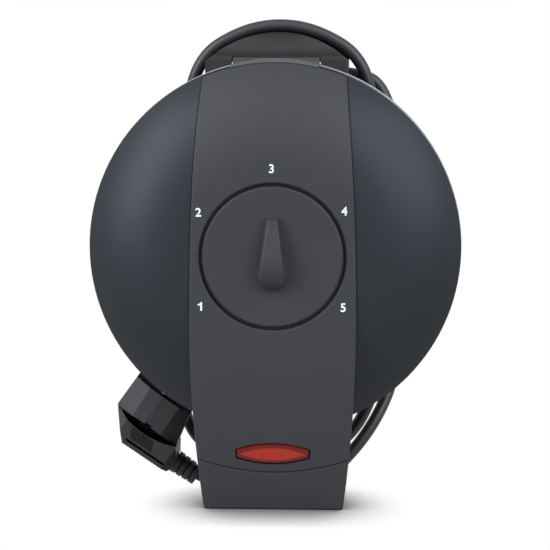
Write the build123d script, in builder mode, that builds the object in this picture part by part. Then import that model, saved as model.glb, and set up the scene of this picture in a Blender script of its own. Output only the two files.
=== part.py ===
from build123d import *
import os
from math import asin, atan2, cos, degrees, hypot, pi, radians, sin, sqrt, tan

os.makedirs("parts", exist_ok=True)

# Heart waffle maker, stood up on its handle ends as it is put away. X runs to the right, Y runs
# away from the viewer, Z runs up, in millimetres. The floor is z = 0. The lid ends at y = -1.6 and
# the base starts at y = -0.6, so that the origin lies on the foot of the base's handle.

# Lid: a shallow dome with a flat middle
lid_centre_height = 152.5
lid_radius = 109.0
lid_edge_depth = 15.0
lid_crown_depth = 38.0
shell_wall = 2.5
lid_rim_front = 11.8
lid_rim_radius = lid_radius + 0.1
lid_back = 1.6
base_front = 0.6
rim_inner = lid_radius - 4.0
rim_ledge = lid_radius - 7.0
seam = 0.2

# Centre panel, which runs on downwards as the lid's handle
panel_proud = 1.2
panel_wall = 2.6
panel_half_top = 41.0
panel_end_radius = lid_radius - 1.0
panel_top = lid_centre_height + lid_radius
panel_half_widest = 48.4
lid_flat_radius = panel_half_widest + 0.3
panel_widest_height = 115.0
panel_half_foot = 40.8
panel_corner = 2.5
panel_edge_round = 1.2
panel_flat_end = 104.0
handle_tip_depth = 31.5
cover_thickness = 2.4
groove_radius = 130.1
groove_half_width = 0.85
groove_depth = 0.9

# Dial
dial_drop = 3.1
dial_hole_radius = 42.6
dial_hole_bevel = 0.7
dial_radius = 40.7
dial_recess_depth = 3.4
dial_floor_depth = lid_crown_depth - dial_recess_depth
dial_floor_wall = 2.4
dial_disc_thickness = 3.6
dial_dish = 0.9
dial_inset = 0.2
pointer_top = 22.4
pointer_top_half = 3.6
pointer_round = 8.3
pointer_bottom = 19.1
pointer_crest = 9.2
pointer_top_rise = 4.6
hub_radius = 6.0
hub_end_depth = 28.5
spindle_radius = 3.0
running_fit = 0.05

# Indicator lens and lamp
lens_below_lid = 9.5
lens_height = lid_centre_height - lid_radius - lens_below_lid
lens_half_width = 21.5
lens_half_height = 6.1
lens_end_half = 2.6
lens_proud = 0.5
lens_flange_thickness = 1.2
lens_bevel = 0.9
lens_flange = 1.6
lens_fit = 0.25
lamp_radius = 3.2
lamp_depth = 23.0

# Base: a round tray with a rounded back edge
base_rim_radius = lid_radius + 0.7
base_rim_depth = 3.0
base_radius = lid_radius - 2.0
base_depth = 42.0
base_edge_round = 18.0

# Baking plates: five hearts that meet at their tips
upper_face = -1.5
lower_face = -0.7
web_radius = lid_radius - 30.0
plate_flange_radius = rim_inner - 0.2
plate_flange = 3.0
plate_body_radius = web_radius + 4.0
plate_heel = 2.4
plate_depth = 12.0
mould_depth = 9.0
heart_count = 5
heart_lobe_radius = 0.2316 * web_radius
heart_lobe_distance = 0.743 * web_radius
heart_lobe_angle = 15.0
heart_tip_distance = 5.0
peg_height = 6.0
peg_side = 6.4
peg_pitch = 11.6
peg_taper = 12.0

# Heating
element_radius = 3.25
element_loop = web_radius - 21.0
element_gap = 0.3
pan_radius = plate_body_radius + 2.6
pan_wall = 0.8
pan_floor = 20.0
thermostat_width = 26.0
thermostat_height = 22.0
thermostat_depth = 10.0
bush_radius = 4.6
fuse_radius = 2.2
fuse_rise = 35.0
terminal_rise = 49.5
terminal_front = 28.0

# Hinge
hinge_depth = 6.0
hinge_height = lid_centre_height + lid_radius - 2.7
barrel_radius = 4.2
tongue_half_width = 25.5
tongue_radius = lid_radius + 1.4
tongue_end_rise = 0.6
tongue_front = lid_edge_depth + 2.0
pin_radius = 2.0
pin_inner_x = 13.0
pin_outer_x = 38.0
pin_fit = 0.02
hinge_gap_half = 26.3
hinge_gap_depth = 13.2
hinge_gap_height = hinge_height - 7.0

# Hinge block behind the top, over which the cord is laid
block_half_width = 42.0
block_front = 3.0
block_back = 58.0
block_foot = hinge_height - 15.0
ear_top = hinge_height + 5.2
ear_bevel = 2.0
block_brow = hinge_height + 9.5
block_brow_round = 2.0
block_shoulder_depth = 35.8
block_nape = hinge_height + 4.2
arch_radius = 60.0
arch_top = hinge_height + 19.3
flange_radius = 64.0
flange_front = 44.6
flange_back = 48.5
block_wall = 3.5

# Rear pedestal and feet
pedestal_radius = 50.0
pedestal_lip_radius = 52.0
pedestal_back = 55.0
pedestal_lip = 3.0
pedestal_wall = 3.0
foot_radius = 6.5
foot_spread = 30.0
foot_plane = 60.5

# Base handle
base_handle_half = 36.0
base_handle_back = 15.5
base_handle_corner = 3.0

# Lead and plug; the plug hangs askew below the base's left side, its pins in two park holes
cord_diameter = 7.4
cord_fit = 0.05
bend_share = 0.45
last_bend_radius = 26.0
gland_height = hinge_height - 4.5
gland_depth = 50.2
gland_inner_x = 19.0
gland_outer_x = 41.0
gland_radius = 5.75
gland_tip_radius = 4.3
tunnel_radius = 5.9
plug_tilt = 34.1
plug_depth = 20.0
plug_face = base_radius + 7.4
plug_half_depth = 18.5
plug_face_centre = -5.0
plug_back = plug_face + 37.8
plug_draft_angle = 4.0
plug_waist = plug_face + 21.9
plug_waist_depth = 6.0
plug_rib_pitch = 0.85
plug_rib_count = 8
plug_rib_length = 15.7
plug_slot = plug_face + 34.6
plug_slot_length = 27.6
plug_slot_width = 1.4
plug_end = 23.3
plug_pin_radius = 2.4
plug_pin_half_pitch = 9.5
plug_pin_length = 19.0
plug_clip_offset = 15.0
boot_drop = plug_face + 32.1
boot_start = 16.2
boot_end = 40.0
boot_root_radius = 4.8
boot_radius = 6.9
boot_tip_radius = 6.1
boot_groove = 1.1

# Screws
lid_screw_ring = lid_radius - 12.0
lid_screw_angles = (20, 160, 200, 340)
base_screw_ring = base_radius - 15.5
base_screw_angles = (30, 150, 210, 330)
screw_radius = 1.6
screw_hole = 1.7
screw_head_radius = 3.3
screw_head_hole = 3.5
lid_post_radius = 3.9
base_post_radius = 5.0
cover_screw_places = ((-27, 13), (27, 13))

dial_height = lid_centre_height - dial_drop
dome_radius = ((lid_radius - lid_flat_radius) ** 2 + (lid_crown_depth - lid_edge_depth) ** 2) / (
    2 * (lid_crown_depth - lid_edge_depth)
)
dome_centre_y = dome_radius - lid_crown_depth
panel_seat = lid_edge_depth + seam
lid_axis = Axis((0, 0, lid_centre_height), (0, 1, 0))
dial_axis = Axis((0, 0, dial_height), (0, 1, 0))
lid_plane = Plane(origin=(0, 0, lid_centre_height), x_dir=(1, 0, 0), z_dir=(0, 0, 1))
dial_plane = Plane(origin=(0, 0, dial_height), x_dir=(1, 0, 0), z_dir=(0, 0, 1))


def front(depth):
    """The plane that faces the viewer, at a depth behind the parting plane."""
    return Plane(origin=(0, depth, 0), x_dir=(1, 0, 0), z_dir=(0, -1, 0))


def across(x):
    """The plane square to X, with Y to its right and Z up."""
    return Plane(origin=(x, 0, 0), x_dir=(0, 1, 0), z_dir=(1, 0, 0))


def finish(piece, name):
    """Names a finished piece and writes it."""
    piece.part.label = name
    export_step(piece.part, f"parts/{name}.step")


def around_lid(radius, angles):
    """Places round the lid's axis, for a sketch on a front plane."""
    return [(radius * cos(radians(a)), lid_centre_height + radius * sin(radians(a))) for a in angles]


def round_face(depth, radius, places=((0, lid_centre_height),)):
    """Circles on a front plane."""
    with BuildSketch(front(depth)) as face:
        with Locations(*places):
            Circle(radius)
    return face.sketch


def dome_section(grow, edge, back):
    """Half section of the dome from its outer line, moved out by grow, back to a depth."""
    radius = dome_radius + grow
    sweep = degrees(asin((edge - lid_flat_radius) / radius))
    with BuildSketch(lid_plane) as section:
        with BuildLine():
            arc = CenterArc((lid_flat_radius, dome_centre_y), radius, -90, sweep)
            Polyline(arc @ 1, (edge, -back), (0, -back), (0, dome_centre_y - radius), arc @ 0)
        make_face()
    return section.sketch


def panel_outline(depth, grow=0.0):
    """The barrel-sided outline of the centre panel on a front plane."""
    with BuildSketch(front(depth)) as outline:
        with BuildLine():
            widest = (panel_half_widest, panel_widest_height)
            TangentArc(widest, (panel_half_top, panel_top), tangent=(0, 1))
            TangentArc(widest, (panel_half_foot, 0), tangent=(0, -1))
            mirror(about=Plane.YZ)
            Line((-panel_half_top, panel_top), (panel_half_top, panel_top))
            Line((-panel_half_foot, 0), (panel_half_foot, 0))
        make_face()
        fillet(outline.vertices().group_by(Axis.Y)[0], panel_corner)
        if grow:
            offset(amount=grow, kind=Kind.INTERSECTION)
    return outline.sketch


def handle_section(inset, back):
    """Side view of the panel below the lid's middle: flat past the dial, then drawn back to the tip."""
    with BuildSketch(across(0)) as section:
        with BuildLine():
            face = -lid_crown_depth - panel_proud + inset
            arc = TangentArc((face, panel_flat_end), (inset - handle_tip_depth, inset), tangent=(0, -1))
            Polyline(
                arc @ 0,
                (face, lid_centre_height),
                (-back, lid_centre_height),
                (-back, inset),
                arc @ 1,
            )
        make_face()
    return section.sketch


def panel_form(inset, back):
    """The closed form of the centre panel and handle, drawn in on every side by inset."""
    with BuildPart() as form:
        revolve(dome_section(panel_proud - inset, panel_end_radius - inset, back), axis=lid_axis)
        split(bisect_by=Plane.XY.offset(lid_centre_height), keep=Keep.TOP)
        extrude(handle_section(inset, back), amount=panel_half_widest + panel_wall, both=True)
        extrude(
            panel_outline(0, -inset),
            amount=lid_crown_depth + panel_wall + panel_corner,
            mode=Mode.INTERSECT,
        )
    return form.part


def lens_outline(depth, grow=0.0):
    """The lens's bowed outline with cut-off ends."""
    with BuildSketch(front(depth)) as outline:
        with BuildLine():
            end_top = (lens_half_width, lens_height + lens_end_half)
            end_low = (lens_half_width, lens_height - lens_end_half)
            ThreePointArc((-end_top[0], end_top[1]), (0, lens_height + lens_half_height), end_top)
            ThreePointArc((-end_low[0], end_low[1]), (0, lens_height - lens_half_height), end_low)
            Line(end_top, end_low)
            Line((-end_top[0], end_top[1]), (-end_low[0], end_low[1]))
        make_face()
        if grow:
            offset(amount=grow, kind=Kind.INTERSECTION)
    return outline.sketch


def box_between(low, high):
    """A box from its lowest to its highest corner."""
    size = [high[k] - low[k] for k in range(3)]
    middle = [(high[k] + low[k]) / 2 for k in range(3)]
    return Pos(*middle) * Box(*size, mode=Mode.PRIVATE)


hinge_gap = box_between(
    (-hinge_gap_half, -hinge_depth, hinge_gap_height), (hinge_gap_half, hinge_gap_depth, arch_top + 5)
)

# Lid shell: the two dark wings of the dome, one moulding that passes behind the panel
lid_screw_places = around_lid(lid_screw_ring, lid_screw_angles)
upper_flange_top = upper_face - plate_flange
with BuildPart() as lid_posts:
    extrude(round_face(upper_flange_top - seam, lid_post_radius, lid_screw_places), amount=lid_crown_depth)
    extrude(
        round_face(upper_flange_top, screw_hole, lid_screw_places), amount=11, mode=Mode.SUBTRACT
    )
    revolve(dome_section(-seam, lid_radius - seam, 0), axis=lid_axis, mode=Mode.INTERSECT)

with BuildPart() as lid_shell:
    revolve(dome_section(0, lid_radius, lid_rim_front + seam), axis=lid_axis)
    revolve(
        dome_section(-shell_wall, lid_radius - shell_wall, lid_rim_front - seam),
        axis=lid_axis,
        mode=Mode.SUBTRACT,
    )
    extrude(panel_outline(-panel_seat, seam), amount=lid_crown_depth, mode=Mode.SUBTRACT)
    add(lid_posts.part)
finish(lid_shell, "lid_shell")

# Centre panel and handle: one moulding with the dial's recess, the lens slot and the smile groove
handle_fall = lid_crown_depth + panel_proud - handle_tip_depth
handle_arc_radius = (panel_flat_end**2 + handle_fall**2) / (2 * handle_fall)
groove_low = lid_centre_height - groove_radius
groove_slope = asin((panel_flat_end - groove_low) / handle_arc_radius)
groove_low_y = handle_arc_radius * (1 - cos(groove_slope)) - lid_crown_depth - panel_proud
with BuildPart() as centre_panel:
    add(panel_form(0, lid_back))
    front_edges = centre_panel.edges().filter_by(lambda e: e.bounding_box().max.Y < -lid_edge_depth - 0.5)
    fillet(front_edges, panel_edge_round)
    add(panel_form(panel_wall, lid_back - seam), mode=Mode.SUBTRACT)
    extrude(round_face(-panel_seat - seam, lid_radius + seam), amount=-40, mode=Mode.SUBTRACT)
    extrude(round_face(upper_face - pan_floor - 1, pan_radius + 4), amount=-40, mode=Mode.SUBTRACT)
    extrude(
        round_face(dial_floor_wall - dial_floor_depth, dial_hole_radius + panel_wall, ((0, dial_height),)),
        amount=lid_crown_depth - dial_floor_depth + dial_floor_wall,
    )
    extrude(
        round_face(-dial_floor_depth, dial_hole_radius, ((0, dial_height),)),
        amount=lid_crown_depth,
        mode=Mode.SUBTRACT,
    )
    chamfer(
        centre_panel.edges()
        .filter_by(GeomType.CIRCLE)
        .filter_by(lambda e: abs(e.radius - dial_hole_radius) < 0.01 and e.center().Y < -lid_crown_depth),
        dial_hole_bevel,
    )
    extrude(
        round_face(0, hub_radius + 0.6, ((0, dial_height),)),
        amount=lid_crown_depth * 2,
        mode=Mode.SUBTRACT,
    )
    extrude(round_face(-lid_back - cover_thickness - 2 * seam, 3.6, cover_screw_places), amount=27)
    extrude(round_face(0, 1.3, cover_screw_places), amount=22, mode=Mode.SUBTRACT)
    extrude(lens_outline(0, lens_fit), amount=lid_crown_depth * 2, mode=Mode.SUBTRACT)
    with BuildSketch(across(0)):
        with Locations(Location((groove_low_y, groove_low, 0), (0, 0, degrees(groove_slope)))):
            Ellipse(groove_depth, groove_half_width)
    revolve(
        axis=Axis(
            (
                0,
                groove_low_y - groove_radius * sin(groove_slope),
                groove_low + groove_radius * cos(groove_slope),
            ),
            (0, -cos(groove_slope), -sin(groove_slope)),
        ),
        mode=Mode.SUBTRACT,
    )
finish(centre_panel, "centre_panel")

# Lid rim: the satin ring round the lid's open edge, with a ledge for the plate
with BuildPart() as lid_rim:
    extrude(round_face(-lid_back, lid_rim_radius), amount=lid_rim_front - lid_back)
    extrude(round_face(0, rim_inner), amount=lid_crown_depth, mode=Mode.SUBTRACT)
    extrude(round_face(upper_flange_top - seam, rim_inner + 1), amount=1.8)
    extrude(round_face(0, rim_ledge), amount=lid_crown_depth, mode=Mode.SUBTRACT)
finish(lid_rim, "lid_rim")

# Hinge tongue: a saddle hooked over the lid's top edge, which runs back to the hinge barrel
tongue_top = lid_centre_height + tongue_radius
tongue_end_top = lid_centre_height + sqrt((lid_rim_radius + tongue_end_rise) ** 2 - tongue_half_width**2)
tongue_fall = tongue_top - tongue_end_top
tongue_arc_radius = (tongue_half_width**2 + tongue_fall**2) / (2 * tongue_fall)
with BuildPart() as hinge_tongue:
    with BuildSketch(across(-tongue_half_width)):
        with BuildLine():
            Polyline(
                (-tongue_front, hinge_gap_height),
                (-tongue_front, hinge_height + 9),
                (hinge_depth, hinge_height + 9),
                (hinge_depth, hinge_height - 0.5),
                (-lid_back + seam, hinge_height - 0.5),
                (-lid_back + seam, hinge_gap_height),
                close=True,
            )
        make_face()
    extrude(amount=2 * tongue_half_width)
    extrude(
        round_face(2 * hinge_depth, tongue_arc_radius, ((0, tongue_top - tongue_arc_radius),)),
        amount=lid_crown_depth * 2,
        mode=Mode.INTERSECT,
    )
    revolve(
        dome_section(seam, lid_rim_radius + seam, lid_back - seam), axis=lid_axis, mode=Mode.SUBTRACT
    )
    extrude(
        round_face(-lid_edge_depth, panel_end_radius + seam), amount=lid_crown_depth, mode=Mode.SUBTRACT
    )
    with BuildSketch(across(-tongue_half_width)):
        with Locations((hinge_depth, hinge_height)):
            Circle(barrel_radius)
    extrude(amount=2 * tongue_half_width)
    with BuildSketch(across(-tongue_half_width)):
        with Locations((hinge_depth, hinge_height)):
            Circle(pin_radius + running_fit)
    extrude(amount=2 * tongue_half_width, mode=Mode.SUBTRACT)
finish(hinge_tongue, "hinge_tongue")

# Handle cover: closes the open back of the lid's handle
cover_front = -lid_back - seam - cover_thickness
with BuildPart() as lid_handle_cover:
    extrude(panel_outline(-lid_back - seam, -panel_wall - seam), amount=cover_thickness)
    split(bisect_by=Plane.XY.offset(lid_centre_height), keep=Keep.BOTTOM)
    extrude(round_face(lid_back, lid_radius + seam), amount=lid_crown_depth, mode=Mode.SUBTRACT)
    extrude(round_face(0, screw_hole, cover_screw_places), amount=10, mode=Mode.SUBTRACT)
finish(lid_handle_cover, "lid_handle_cover")


def heart_sketch(depth):
    """Five hearts round the lid's axis, tips to the middle, one of them straight up."""
    with BuildSketch(front(depth)) as hearts:
        for k in range(heart_count):
            turn = radians(90 + k * 360 / heart_count)
            tip = Vector(heart_tip_distance * cos(turn), lid_centre_height + heart_tip_distance * sin(turn))
            corners = [tip]
            for side in (-1, 1):
                lobe = turn + side * radians(heart_lobe_angle)
                centre = Vector(
                    heart_lobe_distance * cos(lobe), lid_centre_height + heart_lobe_distance * sin(lobe)
                )
                reach = (centre - tip).length
                run = sqrt(reach**2 - heart_lobe_radius**2)
                aim = atan2(centre.Y - tip.Y, centre.X - tip.X) + side * asin(heart_lobe_radius / reach)
                touch = tip + Vector(run * cos(aim), run * sin(aim))
                with Locations(centre):
                    Circle(heart_lobe_radius)
                corners += [touch, centre] if side < 0 else [centre, touch]
            with BuildLine():
                Polyline(*corners, close=True)
            make_face()
    return hearts.sketch


def inside_heart(x, z, margin):
    """Whether a point stands at least a margin inside the outline of one of the hearts."""
    lobe_along = heart_lobe_distance * cos(radians(heart_lobe_angle))
    lobe_aside = heart_lobe_distance * sin(radians(heart_lobe_angle))
    reach = hypot(lobe_along - heart_tip_distance, lobe_aside)
    edge = atan2(lobe_aside, lobe_along - heart_tip_distance) + asin(heart_lobe_radius / reach)
    for k in range(heart_count):
        turn = radians(90 + k * 360 / heart_count)
        along = x * cos(turn) + (z - lid_centre_height) * sin(turn)
        aside = abs((z - lid_centre_height) * cos(turn) - x * sin(turn))
        off_edge = (along - heart_tip_distance) * sin(edge) - aside * cos(edge)
        if hypot(along - lobe_along, aside - lobe_aside) < heart_lobe_radius - margin:
            return True
        if along < lobe_along and off_edge > margin:
            return True
    return False


peg_places = [
    (column * peg_pitch, lid_centre_height + row * peg_pitch)
    for column in range(-8, 9)
    for row in range(-8, 9)
    if inside_heart(column * peg_pitch, lid_centre_height + row * peg_pitch, peg_side * 0.75)
]


def plate_ring(face, sign):
    """The cast ring round a heart plate, from its face back: a wide flange and a deep inner wall."""
    with BuildPart() as ring:
        extrude(round_face(face, plate_flange_radius), amount=-sign * plate_flange)
        extrude(round_face(face, plate_body_radius), amount=-sign * (plate_depth - plate_heel - seam))
        extrude(round_face(face, web_radius + seam), amount=-sign * plate_depth, mode=Mode.SUBTRACT)
    return ring.part


def heart_plate(face, sign):
    """A cast disc below the ring's face: five heart moulds, pegs and a heel behind the ring."""
    web_face = face + sign * (mould_depth - peg_height)
    heel_face = face + sign * (plate_depth - plate_heel)
    with BuildPart() as plate:
        extrude(round_face(web_face, web_radius), amount=-sign * (plate_depth - mould_depth + peg_height))
        extrude(round_face(heel_face, plate_body_radius), amount=-sign * plate_heel)
        extrude(heart_sketch(web_face), amount=-sign * peg_height, mode=Mode.SUBTRACT)
        with BuildSketch(front(face + sign * mould_depth)) as pegs:
            with Locations(*peg_places):
                Rectangle(peg_side, peg_side)
        extrude(pegs.sketch, amount=sign * peg_height, taper=peg_taper)
    return plate


# Upper plate ring, screwed up into the lid, and the upper heart plate that it holds
with BuildPart() as upper_plate_ring:
    add(plate_ring(upper_face, -1))
    extrude(round_face(0, screw_hole, lid_screw_places), amount=8, mode=Mode.SUBTRACT)
    extrude(round_face(0, screw_head_hole, lid_screw_places), amount=1.8 - upper_face, mode=Mode.SUBTRACT)
finish(upper_plate_ring, "upper_plate_ring")
upper_heart_plate = heart_plate(upper_face, -1)
finish(upper_heart_plate, "upper_heart_plate")

# Screws that hold the upper plate ring in the lid's posts
with BuildPart() as lid_screws:
    extrude(round_face(upper_face - 0.2, screw_head_radius, lid_screw_places), amount=1.5)
    extrude(round_face(upper_face - 0.3, screw_radius, lid_screw_places), amount=12)
finish(lid_screws, "lid_screws")

# Two screws that hold the handle's cover in the panel's posts
with BuildPart() as cover_screws:
    extrude(round_face(-lid_back - seam, 1.2, cover_screw_places), amount=16)
    extrude(round_face(-lid_back, 2.8, cover_screw_places), amount=-0.7)
    extrude(round_face(-lid_back, 1.2, cover_screw_places), amount=1)
finish(cover_screws, "cover_screws")

# Lower plate ring, in the base, with bosses for the screws from behind, and the lower heart plate
base_screw_places = around_lid(base_screw_ring, base_screw_angles)
lower_flange_back = lower_face + plate_flange
with BuildPart() as lower_plate_ring:
    add(plate_ring(lower_face, 1))
    extrude(round_face(lower_flange_back - 1, lid_post_radius, base_screw_places), amount=-7)
    extrude(
        round_face(lower_flange_back - 1, screw_hole, base_screw_places), amount=-12, mode=Mode.SUBTRACT
    )
    add(hinge_gap, mode=Mode.SUBTRACT)
finish(lower_plate_ring, "lower_plate_ring")
lower_heart_plate = heart_plate(lower_face, 1)
finish(lower_heart_plate, "lower_heart_plate")


def heating_element(face, sign):
    """A tubular element, nearly a full loop, on the back of a plate, with a pin at either end."""
    depth = face + sign * (plate_depth + element_gap + element_radius)
    with BuildPart() as element:
        with BuildLine(front(depth)) as loop:
            CenterArc((0, lid_centre_height), element_loop, -74, 328)
        with BuildSketch(Plane(origin=loop.wire() @ 0, z_dir=loop.wire() % 0)):
            Circle(element_radius)
        sweep()
        ends = around_lid(element_loop, (-72, -108))
        extrude(round_face(depth, element_radius * 0.6, ends), amount=-sign * 9)
    return element


upper_element = heating_element(upper_face, -1)
finish(upper_element, "upper_element")
lower_element = heating_element(lower_face, 1)
finish(lower_element, "lower_element")


def reflector(face, sign, centre_hole):
    """A thin pressed pan that throws the heat back at the plate, open where the terminals pass."""
    rim = face + sign * (plate_flange + seam)
    depth = pan_floor - plate_flange - seam
    with BuildPart() as pan:
        extrude(round_face(rim, pan_radius), amount=-sign * depth)
        extrude(
            round_face(rim, pan_radius - pan_wall), amount=-sign * (depth - pan_wall), mode=Mode.SUBTRACT
        )
        extrude(round_face(rim, centre_hole), amount=-sign * (depth + 5), mode=Mode.SUBTRACT)
        ends = around_lid(element_loop, (-72, -108))
        extrude(round_face(rim, element_radius, ends), amount=-sign * (depth + 5), mode=Mode.SUBTRACT)
    return pan


upper_reflector = reflector(upper_face, -1, 20.5)
finish(upper_reflector, "upper_reflector")
lower_reflector = reflector(lower_face, 1, 8.0)
finish(lower_reflector, "lower_reflector")

# Thermostat behind the dial, held to the plate's back by a strap
plate_back = upper_face - plate_depth
thermostat_place = ((0, dial_height),)
with BuildPart() as thermostat_body:
    with BuildSketch(front(plate_back - seam)):
        with Locations(*thermostat_place):
            RectangleRounded(thermostat_width, thermostat_height, 3)
    extrude(amount=thermostat_depth)
    extrude(round_face(plate_back - thermostat_depth + 2, bush_radius, thermostat_place), amount=6)
    extrude(
        round_face(plate_back - 5, spindle_radius + running_fit, thermostat_place),
        amount=30,
        mode=Mode.SUBTRACT,
    )
finish(thermostat_body, "thermostat_body")

with BuildPart() as thermostat_bracket:
    with BuildSketch(front(plate_back - seam)):
        with Locations(*thermostat_place):
            Rectangle(thermostat_width + 3, 10)
    extrude(amount=thermostat_depth + 1.5)
    with BuildSketch(front(plate_back)):
        with Locations(*thermostat_place):
            Rectangle(thermostat_width + 0.6, 12)
    extrude(amount=thermostat_depth + 0.4, mode=Mode.SUBTRACT)
    extrude(round_face(0, bush_radius + seam, thermostat_place), amount=60, mode=Mode.SUBTRACT)
finish(thermostat_bracket, "thermostat_bracket")

spindle_end = -dial_floor_depth - 1.0
with BuildPart() as thermostat_spindle:
    extrude(
        round_face(plate_back - 5.5, spindle_radius, thermostat_place),
        amount=plate_back - 5.5 - spindle_end,
    )
finish(thermostat_spindle, "thermostat_spindle")

# Dial pointer: a teardrop ridge, narrow and square at the top and round at the foot
dial_front = dial_inset - lid_crown_depth - panel_proud
disc_back = dial_front + dial_disc_thickness
round_centre = dial_height + pointer_round - pointer_bottom
flank = asin((pointer_round - pointer_top_half) / (dial_height + pointer_top - round_centre))
flank_foot = (pointer_round * cos(flank), round_centre + pointer_round * sin(flank))
pointer_head = dial_height + pointer_top
pointer_foot = dial_height - pointer_bottom
with BuildPart() as dial_pointer:
    with BuildSketch(front(dial_front + dial_dish + 0.5)):
        with BuildLine():
            Polyline(
                flank_foot,
                (pointer_top_half, pointer_head),
                (-pointer_top_half, pointer_head),
                (-flank_foot[0], flank_foot[1]),
            )
            ThreePointArc((-flank_foot[0], flank_foot[1]), (0, pointer_foot), flank_foot)
        make_face()
    extrude(amount=16, taper=4)
    with BuildSketch(across(0)):
        with BuildLine():
            Spline(
                (dial_front - pointer_top_rise, pointer_head + 1),
                (dial_front - pointer_crest + 1.2, dial_height + 6),
                (dial_front - pointer_crest, dial_height - 6),
                (dial_front - pointer_crest + 3.2, pointer_foot + 4),
                (dial_front, pointer_foot - 1),
            )
            Polyline(
                (dial_front, pointer_foot - 1),
                (dial_front + 3, pointer_foot - 1),
                (dial_front + 3, pointer_head + 1),
                (dial_front - pointer_top_rise, pointer_head + 1),
            )
        make_face()
    extrude(amount=12, both=True, mode=Mode.INTERSECT)
    crown = dial_pointer.faces().sort_by(Axis.Y)[0]
    fillet(crown.edges().filter_by(lambda e: e.center().Z < pointer_head - 0.5), 1.8)

# Dial: a dished disc with the pointer and a hub that sits on the spindle
with BuildPart() as dial_knob:
    with BuildSketch(dial_plane):
        with BuildLine():
            ThreePointArc(
                (0, dial_front + dial_dish),
                (dial_radius * 0.5, dial_front + dial_dish * 0.75),
                (dial_radius - 1.0, dial_front),
            )
            Polyline(
                (dial_radius - 1.0, dial_front),
                (dial_radius, dial_front + 0.8),
                (dial_radius, disc_back),
                (hub_radius, disc_back),
                (hub_radius, -hub_end_depth),
                (0, -hub_end_depth),
                (0, dial_front + dial_dish),
            )
        make_face()
    revolve(axis=dial_axis)
    add(dial_pointer.part)
    extrude(
        round_face(-hub_end_depth + 1, spindle_radius + running_fit, thermostat_place),
        amount=1 - hub_end_depth - spindle_end + seam,
        mode=Mode.SUBTRACT,
    )
finish(dial_knob, "dial_knob")

# Spring clip on the hub, behind the floor of the dial's recess
with BuildPart() as knob_spring_clip:
    with BuildSketch(front(dial_floor_wall - dial_floor_depth + 0.3)):
        with Locations(*thermostat_place):
            Circle(8.5)
            Circle(hub_radius + running_fit, mode=Mode.SUBTRACT)
    extrude(amount=-1.2)
finish(knob_spring_clip, "knob_spring_clip")

# Indicator lens: a bevelled cap that stands a little proud, with a flange behind the panel's wall
with BuildPart() as indicator_lens:
    extrude(handle_section(-lens_proud, lid_back), amount=lens_half_width + 1, both=True)
    extrude(lens_outline(0), amount=lid_crown_depth * 2, mode=Mode.INTERSECT)
    lens_front_edges = indicator_lens.edges().filter_by(lambda e: e.bounding_box().max.Y < -lid_edge_depth)
    chamfer(lens_front_edges, lens_bevel, 2 * lens_bevel)
    extrude(
        handle_section(panel_wall + seam + lens_flange_thickness, lid_back - 1),
        amount=lens_half_width + 1,
        both=True,
        mode=Mode.SUBTRACT,
    )
with BuildPart() as lens_flange_ring:
    extrude(handle_section(panel_wall + seam, lid_back), amount=lens_half_width + 3, both=True)
    extrude(lens_outline(0, lens_flange), amount=lid_crown_depth * 2, mode=Mode.INTERSECT)
    extrude(
        handle_section(panel_wall + seam + lens_flange_thickness, lid_back - 1),
        amount=lens_half_width + 4,
        both=True,
        mode=Mode.SUBTRACT,
    )
with BuildPart() as lens_whole:
    add(indicator_lens.part)
    add(lens_flange_ring.part)
finish(lens_whole, "indicator_lens")

# Lamp behind the lens, in a holder that stands on the handle's cover
with BuildPart() as lamp_holder:
    add(box_between((-9, 2.5 - lamp_depth, lens_height - 5), (9, cover_front - seam, lens_height + 5)))
    with BuildSketch(across(-11)):
        with Locations((-lamp_depth, lens_height)):
            Circle(lamp_radius + seam)
    extrude(amount=22, mode=Mode.SUBTRACT)
finish(lamp_holder, "lamp_holder")

# Glow lamp, a tube with rounded ends that lies across the holder
with BuildPart() as indicator_lamp:
    with BuildSketch(across(-10)):
        with Locations((-lamp_depth, lens_height)):
            Circle(lamp_radius)
    extrude(amount=20)
    fillet(indicator_lamp.edges().filter_by(GeomType.CIRCLE), 1.5)
finish(indicator_lamp, "indicator_lamp")

# Thermal fuse above the thermostat, with a wire at either end
with BuildPart() as thermal_fuse:
    with BuildSketch(across(-8)):
        with Locations((plate_back - seam - fuse_radius, lid_centre_height + fuse_rise)):
            Circle(fuse_radius)
    extrude(amount=16)
    with BuildSketch(across(-14)):
        with Locations((plate_back - seam - fuse_radius, lid_centre_height + fuse_rise)):
            Circle(0.6)
    extrude(amount=28)
finish(thermal_fuse, "thermal_fuse")

# Base shell: the round tray, with posts for the plate's screws, park holes and a lead hole
def drum_section(inset, start):
    """Half section of the tray from a depth to its rounded back, drawn in by inset."""
    with BuildSketch(lid_plane) as section:
        with BuildLine():
            arc = CenterArc(
                (base_radius - base_edge_round, base_depth - base_edge_round),
                base_edge_round - inset,
                0,
                90,
            )
            Polyline(arc @ 1, (0, base_depth - inset), (0, start), (base_radius - inset, start), arc @ 0)
        make_face()
    return section.sketch


plug_u = (cos(radians(plug_tilt)), -sin(radians(plug_tilt)))
plug_side = Plane(
    origin=(0, plug_depth, lid_centre_height), x_dir=(plug_u[0], 0, plug_u[1]), z_dir=(0, 1, 0)
)


def plug_point(u, w, y=plug_depth):
    """A point from its run along the plug's lead side and its distance out from the lid's axis."""
    return (u * plug_u[0] + w * plug_u[1], y, lid_centre_height + u * plug_u[1] - w * plug_u[0])


def plug_out(u, w):
    """The plane square to the plug's pins that looks away from the base."""
    return Plane(
        origin=plug_point(u, w), x_dir=(plug_u[0], 0, plug_u[1]), z_dir=(plug_u[1], 0, -plug_u[0])
    )


def plug_along(u):
    """The plane square to the plug's boot that looks towards the lead."""
    return Plane(
        origin=plug_point(u, boot_drop), x_dir=(0, 1, 0), z_dir=(plug_u[0], 0, plug_u[1])
    )


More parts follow.
